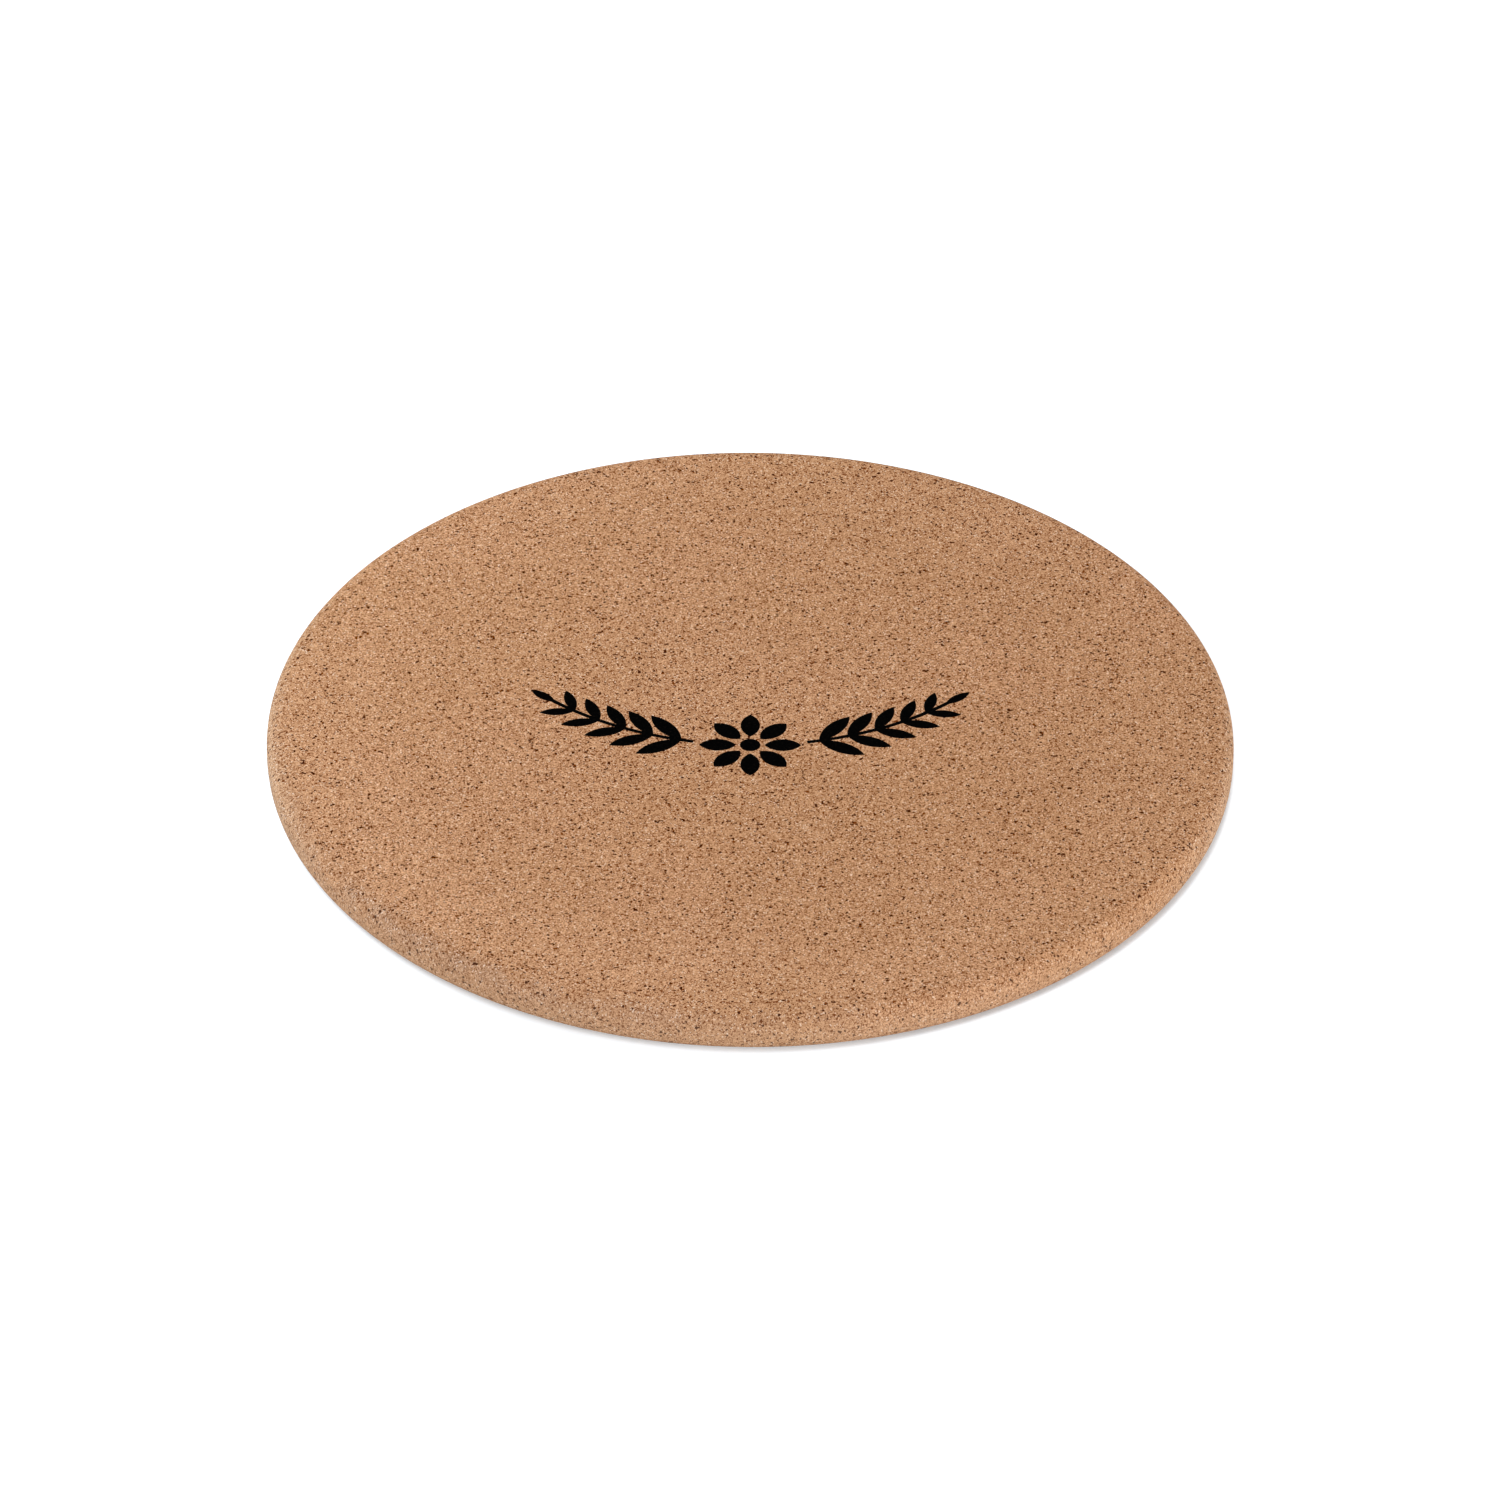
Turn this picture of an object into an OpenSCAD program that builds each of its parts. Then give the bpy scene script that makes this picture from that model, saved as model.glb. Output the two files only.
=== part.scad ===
// Round cork trivet: one pressed disc with softly rounded edges, and a one-colour print
// that lies flush in its top face. +Z is up, and the origin is the middle of the underside.

/* [Disc] */
// Diameter of the disc over its rounded edge
disc_d = 190; // [150:1:260]
// Thickness of the disc
disc_t = 8; // [7.5:0.5:15]
// Radius of the rounding round the top face
top_round_r = 3.5; // [0.5:0.25:4]
// Radius of the rounding round the underside
foot_round_r = 3; // [0.5:0.25:3]

/* [Print] */
// Depth that the ink soaks into the cork
ink_t = 0.1; // [0.05:0.05:0.3]
// How far the middle of the flower lies in front of the middle of the disc
flower_ahead = 7.5; // [0:0.5:25]

/* [Flower] */
// Number of petals
petal_count = 8; // [5:1:9]
// Diameter of the flower over the tips of its petals
flower_d = 20; // [16:0.5:24]
// Width of a petal at its middle
petal_w = 3.8; // [2:0.1:4]
// Diameter of the round eye of the flower
eye_d = 4; // [2:0.25:5]
// Bare cork between the eye and the petals
eye_gap = 0.8; // [0.4:0.1:1.5]

/* [Sprigs] */
// Radius of the bow that both stems follow
bow_r = 60; // [50:1:120]
// Width of a stem
stem_w = 0.9; // [0.5:0.1:1.5]
// Bare cork between the flower and the cut end of each stem
stem_gap = 1.2; // [0.6:0.1:4]
// Pairs of leaves on each stem
pair_count = 5; // [3:1:6]
// Distance along the stem between one pair of leaves and the next
leaf_pitch = 5.8; // [5:0.1:7]
// Length of stem below the first pair of leaves
stem_foot_l = 2.4; // [1:0.1:6]
// Length of the largest leaf
leaf_l = 10; // [8:0.5:12]
// Width of the largest leaf at its middle
leaf_w = 3.3; // [2:0.1:4]
// Angle that a leaf leans away from its stem
leaf_lean = 40; // [30:1:60]

/* [Hidden] */
$fn = 96;
// How far a cutting tool runs past the face that it cuts
overrun = 1;
// Length of the last leaf as a share of the largest
tip_leaf_share = 0.62;

disc_r = disc_d / 2;
edge_band_h = disc_t - top_round_r - foot_round_r;
recess_z = disc_t - ink_t;
petal_foot_r = eye_d / 2 + eye_gap;
petal_l = flower_d / 2 - petal_foot_r;
// Along the bow, a length turns through this many degrees for each millimetre
bow_deg = 180 / (PI * bow_r);
stem_start = flower_d / 2 + stem_gap;
stem_l = stem_foot_l + pair_count * leaf_pitch;

// Size of leaf pair i against the largest: each pair is a step smaller, down to the tip
function leaf_share(i) = 1 - (1 - tip_leaf_share) * i / pair_count;

// Half of a section through the disc: flat faces, a rounding at each, a short band between
module disc_profile() {
    square([disc_r - foot_round_r, foot_round_r]);
    translate([disc_r - foot_round_r, foot_round_r]) circle(r = foot_round_r);
    translate([0, foot_round_r]) square([disc_r, edge_band_h]);
    translate([disc_r - top_round_r, disc_t - top_round_r]) circle(r = top_round_r);
    translate([0, disc_t - top_round_r]) square([disc_r - top_round_r, top_round_r]);
}

// A pointed leaf along +X from the origin: where two equal circles cross
module leaf(length, width) {
    arc_r = (length * length + width * width) / (4 * width);
    intersection() {
        translate([length / 2, arc_r - width / 2]) circle(r = arc_r);
        translate([length / 2, width / 2 - arc_r]) circle(r = arc_r);
    }
}

// Eye and petals of the flower, height tall
module flower(height) {
    linear_extrude(height) {
        circle(d = eye_d);
        for (i = [0 : petal_count - 1])
            rotate(i * 360 / petal_count)
                translate([petal_foot_r, 0])
                    leaf(petal_l, petal_w);
    }
}

// Moves its children along the bow to the right, with +X along the stem there
module along_bow(distance) {
    translate([0, bow_r])
        rotate(distance * bow_deg)
            translate([0, -bow_r])
                children();
}

// Stem and leaves to the right of the flower, height tall
module sprig(height) {
    translate([0, bow_r])
        rotate(stem_start * bow_deg - 90)
            rotate_extrude(angle = stem_l * bow_deg)
                translate([bow_r - stem_w / 2, 0])
                    square([stem_w, height]);
    linear_extrude(height) {
        for (i = [0 : pair_count - 1], side = [-1, 1])
            along_bow(stem_start + stem_foot_l + i * leaf_pitch)
                rotate(side * leaf_lean)
                    leaf(leaf_share(i) * leaf_l, leaf_share(i) * leaf_w);
        along_bow(stem_start + stem_l - stem_w)
            leaf(leaf_share(pair_count) * leaf_l, leaf_share(pair_count) * leaf_w);
    }
}

// Puts the print's children in place on the disc, from the floor of the recess up
module at_print() {
    translate([0, -flower_ahead, recess_z]) children();
}

// The pressed cork, with the print's outline sunk into its top face
module cork_disc() {
    color("#b88a65")
        difference() {
            rotate_extrude() disc_profile();
            at_print() {
                flower(ink_t + overrun);
                sprig(ink_t + overrun);
                mirror([1, 0, 0]) sprig(ink_t + overrun);
            }
        }
}

// The films of black ink, flush with the top face
module ink_flower() {
    color("#111111") at_print() flower(ink_t);
}

module ink_left_sprig() {
    color("#111111") at_print() mirror([1, 0, 0]) sprig(ink_t);
}

module ink_right_sprig() {
    color("#111111") at_print() sprig(ink_t);
}

cork_disc();
ink_flower();
ink_left_sprig();
ink_right_sprig();
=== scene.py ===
"""Round cork trivet with a one-colour print: the dressed model and its studio.

The cork disc is one closed mesh. Its top and rim are laid out flat as a disc whose radius is
the length along the section, from the middle of the top over both roundings to the underside.
Pores and chips are set out on that sheet, which is then triangulated and folded back into the
solid. The ink films are cut from the same triangles, so that they follow the cork below them.
"""

from __future__ import annotations

import logging
import math
import sys
from dataclasses import dataclass, field
from enum import Enum
from typing import Iterable, Sequence
import bpy
import numpy as np
from mathutils import Matrix, Vector, noise
from mathutils.geometry import delaunay_2d_cdt


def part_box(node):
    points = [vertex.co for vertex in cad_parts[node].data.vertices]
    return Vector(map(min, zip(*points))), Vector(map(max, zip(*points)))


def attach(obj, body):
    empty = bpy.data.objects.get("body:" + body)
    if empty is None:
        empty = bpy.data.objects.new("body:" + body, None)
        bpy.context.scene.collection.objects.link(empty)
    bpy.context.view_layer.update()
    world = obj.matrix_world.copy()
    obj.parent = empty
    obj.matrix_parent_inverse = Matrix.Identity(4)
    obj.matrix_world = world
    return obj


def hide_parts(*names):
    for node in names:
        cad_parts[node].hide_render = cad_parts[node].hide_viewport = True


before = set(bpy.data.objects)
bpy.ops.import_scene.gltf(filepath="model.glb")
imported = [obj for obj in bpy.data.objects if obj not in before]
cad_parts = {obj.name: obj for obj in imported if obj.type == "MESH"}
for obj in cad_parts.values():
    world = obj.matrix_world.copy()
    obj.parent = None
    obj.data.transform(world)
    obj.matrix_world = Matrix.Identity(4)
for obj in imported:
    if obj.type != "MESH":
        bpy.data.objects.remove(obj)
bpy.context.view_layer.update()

MM = 0.001
TINY = 1e-9
CORNER_DIGITS = 4
FACE_DEPTH = 0.001 * MM
BODY = "root"
RIGHT = (1, 0, 0)
FRONT = (0, -1, 0)
LOG = logging.getLogger("trivet")


class Slot(Enum):
    """Material slots of the record."""

    CORK = "cork"
    INK = "print_ink"


class Feature(Enum):
    """What a cell texture measures."""

    MIDDLE = "F1"
    BORDER = "DISTANCE_TO_EDGE"


class Output(Enum):
    """What a recipe is for."""

    MATERIAL = "ShaderNodeOutputMaterial"
    WORLD = "ShaderNodeOutputWorld"


class Reading:
    """A number, colour or vector that a socket gives, with arithmetic on numbers."""

    def __init__(self, recipe: Recipe, socket: bpy.types.NodeSocket) -> None:
        """Keep the recipe that owns the socket, and the socket."""
        self.recipe = recipe
        self.socket = socket

    def other(self, name: str) -> Reading:
        """Another output of the same node."""
        return Reading(self.recipe, self.socket.node.outputs[name])

    def _worked(self, operation: str, first: Number, second: Number) -> Reading:
        """One Math node on two numbers."""
        return self.recipe.node("ShaderNodeMath", {"operation": operation}, {0: first, 1: second})

    def __add__(self, term: Number) -> Reading:
        """Sum."""
        return self._worked("ADD", self, term)

    def __radd__(self, term: Number) -> Reading:
        """Sum, with the number first."""
        return self._worked("ADD", term, self)

    def __sub__(self, term: Number) -> Reading:
        """Difference."""
        return self._worked("SUBTRACT", self, term)

    def __rsub__(self, term: Number) -> Reading:
        """Difference, with the number first."""
        return self._worked("SUBTRACT", term, self)

    def __mul__(self, factor: Number) -> Reading:
        """Product."""
        return self._worked("MULTIPLY", self, factor)

    def __rmul__(self, factor: Number) -> Reading:
        """Product, with the number first."""
        return self._worked("MULTIPLY", factor, self)


Number = float | Reading
Colour = tuple[float, float, float]
Tint = Colour | Reading
Span = tuple[float, float]
Ramp = tuple[float, ...]
Sockets = dict[str | int, object]


@dataclass(frozen=True)
class Mark:
    """What is mixed in where a level crosses a ramp: how much of it, and its tone."""

    ramp: Ramp
    share: float
    tone: Colour


@dataclass(frozen=True)
class Touch:
    """How a solid surface feels: its roughness, its gloss and the small bumps on it."""

    roughness: float
    roughness_share: float
    gloss: float
    bump_strength: float
    bump_depth: float


class Recipe:
    """The node tree of one finish, filled from the texture end to the output."""

    def __init__(self, tree: bpy.types.NodeTree, output: Output = Output.MATERIAL) -> None:
        """Start an empty tree."""
        tree.nodes.clear()
        self.tree = tree
        self.output = output

    def node(
        self,
        kind: str,
        settings: dict[str, object] | None = None,
        sockets: Sockets | None = None,
        out: str | int = 0,
    ) -> Reading:
        """Add one node.

        Args:
            kind: the node's type.
            settings: the node's own properties, which are set first.
            sockets: a value or a reading for each input socket that is used.
            out: the output socket that is wanted.

        Returns:
            A reading of that output.
        """
        made = self.tree.nodes.new(kind)
        for name, setting in (settings or {}).items():
            setattr(made, name, setting)
        for key, given in (sockets or {}).items():
            if isinstance(given, Reading):
                self.tree.links.new(given.socket, made.inputs[key])
            else:
                made.inputs[key].default_value = given
        return Reading(self, made.outputs[out] if made.outputs else None)

    def vector(self, operation: str, sockets: Sockets, out: str | int = 0) -> Reading:
        """One Vector Math node."""
        return self.node("ShaderNodeVectorMath", {"operation": operation}, sockets, out)

    def mixed(self, share: Number, first: Tint, second: Tint) -> Reading:
        """A colour that goes from first to second as share goes from 0 to 1."""
        settings = {"data_type": "RGBA", "clamp_factor": True}
        sockets = {0: share, 6: tinted(first), 7: tinted(second)}
        return self.node("ShaderNodeMix", settings, sockets, out=2)

    def marked(self, colour: Reading, level: Reading, mark: Mark) -> Reading:
        """A colour with a mark mixed in as far as a level has crossed its ramp."""
        return self.mixed(self.eased(level, mark.ramp) * mark.share, colour, mark.tone)

    def eased(self, level: Reading, ramp: Ramp) -> Reading:
        """Go smoothly from one number to another while a level crosses a ramp.

        Args:
            level: the number that is read.
            ramp: where the change starts and where it is complete, above or below the start,
                and the numbers that it goes from and to, where they aren't 0 and 1.

        Returns:
            A reading of the eased number.
        """
        sockets = dict(zip(("From Min", "From Max", "To Min", "To Max"), ramp), Value=level)
        return self.node("ShaderNodeMapRange", {"interpolation_type": "SMOOTHSTEP"}, sockets)

    def clouds(self, place: Reading, width: float, detail: float = 2.0) -> Reading:
        """Soft noise from 0 to 1 whose blotches are about width across."""
        sockets = {"Vector": place, "Scale": 1 / width, "Detail": detail}
        return self.node("ShaderNodeTexNoise", {}, sockets)

    def cells(self, place: Reading, width: float, feature: Feature = Feature.MIDDLE) -> Reading:
        """Cells about width across, as distances from the middle or from the border."""
        sockets = {"Vector": place, "Scale": 1 / width}
        return self.node("ShaderNodeTexVoronoi", {"feature": feature.value}, sockets)

    def lots(self, cells: Reading) -> tuple[Reading, Reading, Reading]:
        """Three even random numbers from 0 to 1 for each cell."""
        first = self.node("ShaderNodeSeparateColor", {}, {"Color": cells.other("Color")}, out="Red")
        return first, first.other("Green"), first.other("Blue")

    def millimetres(self) -> Reading:
        """Places on the object, in millimetres."""
        place = self.node("ShaderNodeTexCoord", out="Object")
        return self.vector("SCALE", {0: place, "Scale": 1 / MM})

    def swayed(self, place: Reading, width: float, reach: float) -> Reading:
        """Places pushed about by soft noise, so that what is drawn there isn't regular."""
        push = self.clouds(place, width, 1.0).other("Color")
        return self.vector("MULTIPLY_ADD", {0: push, 1: (reach,) * 3, 2: place})

    def toward(self, place: Reading, way: tuple[int, int, int]) -> Reading:
        """How far places lie in one direction."""
        return self.vector("DOT_PRODUCT", {0: place, 1: way}, out="Value")

    def painted(self, name: str) -> Reading:
        """A number that the mesh holds for each of its points."""
        return self.node("ShaderNodeAttribute", {"attribute_name": name}, out="Fac")

    def seen_directly(self) -> Reading:
        """1 for rays from the camera, from gloss and through glass, and 0 for the light's own."""
        camera = self.node("ShaderNodeLightPath", out="Is Camera Ray")
        return camera + camera.other("Is Glossy Ray") + camera.other("Is Transmission Ray")

    def close(self, shader: Reading) -> None:
        """Send the finished shader to the output."""
        self.node(self.output.value, {}, {"Surface": shader})

    def close_solid(self, colour: Reading, lot: Reading, height: Reading, touch: Touch) -> None:
        """Send a solid surface to the output.

        Args:
            colour: its colour.
            lot: what its roughness varies with.
            height: the height of its small bumps.
            touch: its roughness, gloss and bumps.
        """
        bump = {"Strength": touch.bump_strength, "Distance": touch.bump_depth, "Height": height}
        sockets = {
            "Base Color": colour,
            "Roughness": lot * touch.roughness_share + touch.roughness,
            "Specular IOR Level": touch.gloss,
            "Normal": self.node("ShaderNodeBump", {}, bump),
        }
        self.close(self.node("ShaderNodeBsdfPrincipled", {}, sockets))


def tinted(colour: Tint) -> tuple[float, ...] | Reading:
    """A plain colour with full alpha; a reading goes through as it is."""
    return colour if isinstance(colour, Reading) else (*colour, 1.0)


def new_material(name: str) -> bpy.types.Material:
    """A new material that is made of nodes."""
    material = bpy.data.materials.new(name)
    material.use_nodes = True
    return material


class CorkGrain(Recipe):
    """The cork's recipe, with what it reads at each place: cells, their lots, and distances."""

    def __init__(self, tree: bpy.types.NodeTree, finish: CorkFinish) -> None:
        """Lay out the cells of slightly swayed places.

        Args:
            tree: the node tree that is filled.
            finish: the finish, with the widths of the cells.
        """
        super().__init__(tree)
        self.place = self.millimetres()
        self.bent = self.place
        for width, reach in finish.sways:
            self.bent = self.swayed(self.bent, width, reach)
        self.borders = self.cells(self.bent, finish.granule_w, Feature.BORDER)
        self.granule_lot, _, _ = self.lots(self.cells(self.bent, finish.granule_w))
        self.speck_lot, _, _ = self.lots(self.cells(self.bent, finish.speck_w))
        self.crumb_lot, self.grit_lot, self.fleck_lot = self.lots(self.cells(self.bent, finish.crumb_w))
        self.edge = self.painted("edge")
        level = self.vector("MULTIPLY", {0: self.place, 1: (1, 1, 0)})
        self.away = self.vector("LENGTH", {0: level}, out="Value")
        self.front = self.toward(self.place, FRONT)
        self.across = self.toward(self.place, RIGHT)


@dataclass(frozen=True)
class CorkFinish:
    """Pressed cork: granules in brown tones, dark specks, pale flecks and soft patches.

    Widths and distances are in millimetres, and a share says how much of a tone or a noise is
    mixed in. Every cell draws lots from 0 to 1, and the lowest or highest of them get a mark.
    """

    name: str = "pressed_cork"
    granule_w: float = 0.34
    crumb_w: float = 0.21
    speck_w: float = 0.42
    sways: tuple[Span, ...] = ((0.8, 0.35), (0.3, 0.16))

    dark_tone: Colour = (0.225, 0.070, 0.006)
    light_tone: Colour = (0.822, 0.464, 0.262)
    speck_tone: Colour = (0.165, 0.034, 0.000)
    base_level: float = 0.37
    granule_share: float = 0.04
    crumb_ramp: Ramp = (0.08, 0.92)
    crumb_share: float = 0.52
    patch_w: float = 7.0
    patch_share: float = 0.03
    # painted light: a lighter band inside the edge of the top, strongest at the front
    lit_band_start: Ramp = (64.0, 82.0)
    lit_band_end: Ramp = (92.5, 90.5)
    lit_band_front: Ramp = (-60.0, 70.0, 0.02, 0.068)
    # painted light from the floor on the rim below the top rounding, and painted shade where the top
    # rounding begins
    rim_floor_light_ramp: Ramp = (0.50, 0.95, 0.0, 0.07)
    rounding_shade_ramp: Ramp = (0.40, 0.50)
    rounding_shade_share: float = 0.015
    gold_w: float = 55.0
    gold: Mark = Mark((0.35, 0.65), 0.15, (0.490, 0.262, 0.112))
    seam_ramp: Ramp = (0.14, 0.04)
    seam_lots: Ramp = (0.7, 0.5)
    seam_share: float = 0.5

    cluster_w: float = 2.2
    cluster_share: float = 0.02
    middle_crowd: Ramp = (62.0, 30.0, 0.0, 0.008)
    right_crowd: Ramp = (30.0, 70.0, 0.0, 0.005)
    front_crowd: Ramp = (30.0, 80.0, 0.0, 0.006)
    grit_crowding: float = 1.5
    grit: Mark = Mark((0.175, 0.155), 0.95, speck_tone)
    fleck_edge: float = 0.01
    fleck: Mark = Mark((0.955, 0.965), 0.9, (0.900, 0.650, 0.470))
    speck: Mark = Mark((0.058, 0.052), 0.95, speck_tone)
    bark_ramp: Ramp = (0.0405, 0.0355)
    bark_tone: Colour = (0.060, 0.011, 0.001)
    dusk_w: float = 1.6
    dusk: Mark = Mark((0.70, 0.76), 0.18, (0.320, 0.170, 0.130))

    line_r: float = 89.5
    line_sway_w: float = 5.0
    line_sway: float = 1.6
    line_ramp: Ramp = (0.14, 0.02)
    line_front: Ramp = (60.0, 84.0)
    gap_w: float = 1.2
    gap_ramp: Ramp = (0.46, 0.56)
    gap_lots: Ramp = (0.95, 0.55)
    line_share: float = 0.75
    # painted shade: a darker colour inside the pores and chips
    pore_shade: Mark = Mark((0.05, 0.85), 0.6, speck_tone)
    # a paler, greyer tone over the rounding, more toward the foot: partly the cut cork's own tone,
    # partly painted light from the floor
    edge_tone_and_floor_light: Mark = Mark((0.3, 1.0), 0.25, (0.460, 0.310, 0.200))

    # bluer, greyer patches on the lower-left edge: partly worn cork, partly painted cool sheen of light
    # grazing that side
    untinted_tone: Colour = (1.0, 1.0, 1.0)
    wear_and_cool_sheen_w: float = 6.0
    wear_and_cool_sheen_ramp: Ramp = (0.30, 0.60)
    wear_and_cool_sheen_tone: Colour = (0.930, 1.000, 1.120)
    # painted sheen: a paler, bluer edge at the left and right ends, standing in for light from the
    # white surroundings grazing it there
    end_sheen_squares: Ramp = (6400.0, 8800.0)
    end_sheen_edge: Ramp = (0.35, 0.65)
    end_sheen_tone: Colour = (1.060, 1.160, 1.270)

    swell_ramp: Ramp = (0.0, 0.3)
    swell_rise: float = 0.6
    crumb_rise: float = 0.3
    bark_dip: float = 0.5
    edge_calm: float = 0.7
    touch: Touch = Touch(0.80, 0.12, gloss=0.02, bump_strength=0.25, bump_depth=0.03 * MM)

    def material(self) -> bpy.types.Material:
        """Build the finish.

        Returns:
            The material for every face of the cork.
        """
        material = new_material(self.name)
        grain = CorkGrain(material.node_tree, self)
        cluster = (grain.clouds(grain.place, self.cluster_w) - 0.5) * self.cluster_share
        crowd = grain.eased(grain.away, self.middle_crowd) + grain.eased(grain.across, self.right_crowd)
        crowd = crowd - grain.eased(grain.front, self.front_crowd)
        grit_level = grain.grit_lot + cluster - crowd * self.grit_crowding
        speck_level = grain.speck_lot + cluster - crowd
        colour = grain.marked(self._ground(grain), grit_level, self.grit)
        colour = grain.marked(colour, grain.fleck_lot + grain.edge * self.fleck_edge, self.fleck)
        colour = grain.marked(colour, speck_level, self.speck)
        bark = grain.eased(speck_level, self.bark_ramp)
        colour = grain.mixed(bark, colour, self.bark_tone)
        colour = grain.marked(colour, grain.clouds(grain.bent, self.dusk_w), self.dusk)
        swell = grain.eased(grain.borders, self.swell_ramp)
        height = swell * self.swell_rise + grain.crumb_lot * self.crumb_rise - bark * self.bark_dip
        height = height * (1.0 - grain.edge * self.edge_calm)
        grain.close_solid(self._marks_and_painted_light(grain, colour), grain.granule_lot, height, self.touch)
        return material

    def _ground(self, grain: CorkGrain) -> Reading:
        """Mix the brown of the crumbs, with painted light and shade near the rim, and dark seams
        between granules.

        Args:
            grain: the recipe.

        Returns:
            The colour.
        """
        patch = (grain.clouds(grain.place, self.patch_w) - 0.5) * self.patch_share
        crumb = grain.eased(grain.crumb_lot, self.crumb_ramp)
        tone = grain.granule_lot * self.granule_share + crumb * self.crumb_share
        tone = tone + patch + self.base_level
        # painted light: a lighter band inside the edge of the top, strongest at the front
        band = grain.eased(grain.away, self.lit_band_start) * grain.eased(grain.away, self.lit_band_end)
        band = band * grain.eased(grain.front, self.lit_band_front)
        # painted light from the floor on the rim below the top rounding, and painted shade where the
        # top rounding begins
        rim = grain.eased(grain.edge, self.rim_floor_light_ramp)
        rim = rim - grain.eased(grain.edge, self.rounding_shade_ramp) * self.rounding_shade_share
        colour = grain.mixed(tone + band + rim, self.dark_tone, self.light_tone)
        colour = grain.marked(colour, grain.clouds(grain.place, self.gold_w, 1.0), self.gold)
        seam = grain.eased(grain.borders, self.seam_ramp)
        seam = seam * grain.eased(grain.granule_lot, self.seam_lots)
        return grain.mixed(seam * self.seam_share, colour, self.speck_tone)

    def _marks_and_painted_light(self, grain: CorkGrain, colour: Reading) -> Reading:
        """Add the broken press line at the front, painted shade in the pores, and the edge's wear,
        painted sheen and painted floor light.

        Args:
            grain: the recipe.
            colour: the colour so far.

        Returns:
            The colour with them.
        """
        sway = (grain.clouds(grain.place, self.line_sway_w) - 0.5) * self.line_sway
        off_line = grain.away + sway - self.line_r
        on_line = grain.eased(off_line * off_line, self.line_ramp)
        on_line = on_line * grain.eased(grain.front, self.line_front)
        broken = grain.eased(grain.clouds(grain.place, self.gap_w), self.gap_ramp)
        broken = broken * grain.eased(grain.crumb_lot, self.gap_lots)
        colour = grain.mixed(on_line * broken * self.line_share, colour, self.speck_tone)
        # painted shade: a darker colour inside the pores and chips
        colour = grain.marked(colour, grain.painted("pore_shade"), self.pore_shade)
        # a paler, greyer tone over the rounding, more toward the foot: partly the cut cork's own tone,
        # partly painted light from the floor
        colour = grain.marked(colour, grain.edge, self.edge_tone_and_floor_light)
        # bluer, greyer patches on the lower-left edge: partly worn cork, partly painted cool sheen of
        # light grazing that side
        wear_and_cool_sheen = grain.eased(grain.clouds(grain.place, self.wear_and_cool_sheen_w), self.wear_and_cool_sheen_ramp)
        wear_and_sheen_tint = grain.mixed(grain.painted("wear_and_cool_sheen") * wear_and_cool_sheen, self.untinted_tone, self.wear_and_cool_sheen_tone)
        # painted sheen: a paler, bluer edge at the left and right ends, standing in for light from the
        # white surroundings grazing it there
        end_sheen = grain.eased(grain.across * grain.across, self.end_sheen_squares)
        end_sheen = end_sheen * grain.eased(grain.edge, self.end_sheen_edge)
        wear_and_sheen_tint = grain.mixed(end_sheen, wear_and_sheen_tint, self.end_sheen_tone)
        return grain.vector("MULTIPLY", {0: colour, 1: wear_and_sheen_tint})


@dataclass(frozen=True)
class InkFinish:
    """Screen-printing ink: a flat, dense black with a faint grain from the cork below."""

    name: str = "black_printing_ink"
    deep_tone: Colour = (0.0008, 0.0008, 0.0008)
    thin_tone: Colour = (0.0050, 0.0036, 0.0028)
    thin_ramp: Ramp = (0.5, 0.75)
    grain_w: float = 0.5
    touch: Touch = Touch(0.55, 0.3, gloss=0.002, bump_strength=0.4, bump_depth=0.02 * MM)

    def material(self) -> bpy.types.Material:
        """Build the finish.

        Returns:
            The material for every ink film.
        """
        material = new_material(self.name)
        recipe = Recipe(material.node_tree)
        place = recipe.millimetres()
        grain = recipe.clouds(place, self.grain_w)
        dips = recipe.cells(place, self.grain_w, Feature.BORDER)
        colour = recipe.mixed(recipe.eased(grain, self.thin_ramp), self.deep_tone, self.thin_tone)
        recipe.close_solid(colour, grain, dips, self.touch)
        return material


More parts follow.
